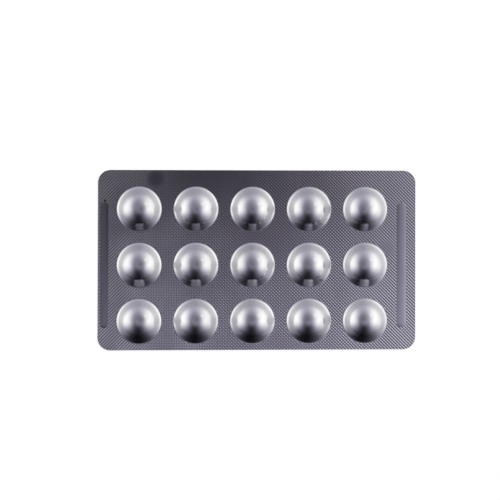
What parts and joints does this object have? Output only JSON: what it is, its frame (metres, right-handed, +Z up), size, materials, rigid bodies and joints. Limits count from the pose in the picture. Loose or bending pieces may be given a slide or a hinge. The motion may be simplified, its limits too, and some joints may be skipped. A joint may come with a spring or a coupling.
{
  "type": "pill blister pack",
  "caption": "Sealed foil blister pack: a flat rounded card with rows of dome-shaped cavities and a low stiffening bead at each short side.",
  "frame": {"origin": "middle of the flat lid side, which the pack lies on", "axes": "+X along the long side, +Y along the short side, +Z up through the domes"},
  "size_m": [0.1024, 0.0578, 0.0042],
  "materials": {
    "foil": "bright rolled foil, fine diamond knurl on the sealed web, smooth domes"
  },
  "bodies": {
    "root": {"blister_pack": "foil"}
  },
  "joints": []
}
